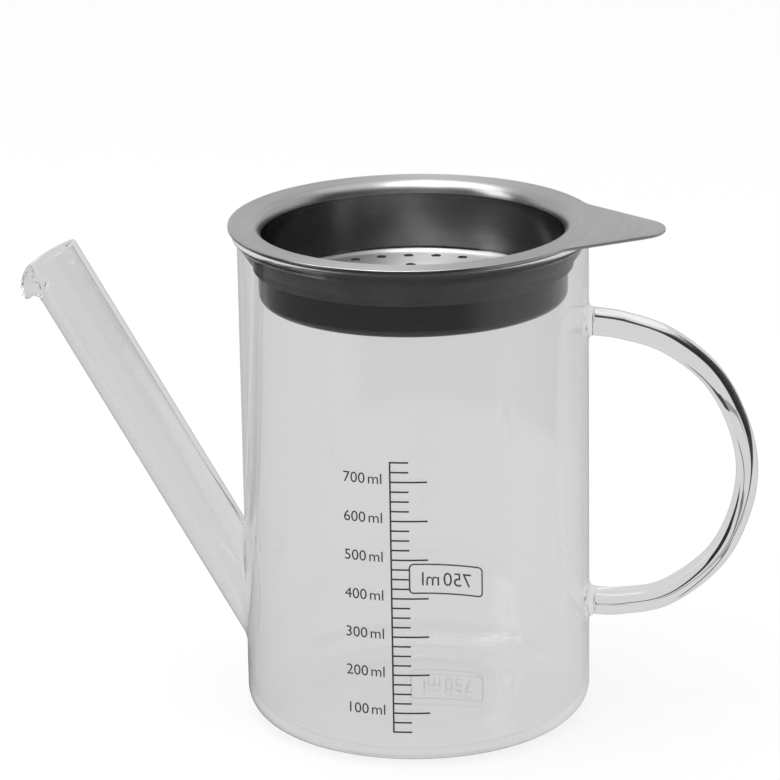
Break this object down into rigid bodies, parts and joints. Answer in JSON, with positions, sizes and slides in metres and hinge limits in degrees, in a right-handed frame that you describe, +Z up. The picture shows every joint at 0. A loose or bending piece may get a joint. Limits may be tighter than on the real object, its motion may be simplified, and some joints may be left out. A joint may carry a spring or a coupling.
{
  "type": "gravy fat separator",
  "caption": "Clear glass jug with a low slanted spout, a bent rod handle, printed volume marks and a lift-out perforated steel strainer in a silicone seal.",
  "frame": {"origin": "on the jug's axis, at the plane the jug rests on", "axes": "+Z up along the jug's axis, +X towards the handle, -X towards the spout, the printed scale faces -Y"},
  "size_m": [0.2258, 0.1114, 0.1557],
  "materials": {
    "clear_glass": "clear blown borosilicate glass, smooth and glossy",
    "print": "dark grey fired print on the glass",
    "silicone": "dark grey satin silicone",
    "steel": "brushed stainless steel, rolled shoulder brighter"
  },
  "bodies": {
    "jug": {"jug_wall": "clear_glass", "spout_tube": "clear_glass", "pouring_lip": "clear_glass", "spout_weld": "clear_glass", "handle_rod": "clear_glass", "upper_handle_weld": "clear_glass", "lower_handle_weld": "clear_glass", "scale_print": "print", "capacity_frame": "print"},
    "seal": {"seal_ring": "silicone"},
    "strainer": {"strainer_cup": "steel"}
  },
  "joints": [
    {"name": "strainer_lift", "type": "slide", "parent": "jug", "child": "seal", "axis": [0, 0, 1], "range_m": [0, 0.06]},
    {"name": "strainer_turn", "type": "hinge", "parent": "seal", "child": "strainer", "pos_m": [0, 0, 0.145], "axis": [0, 0, 1], "continuous": true}
  ]
}
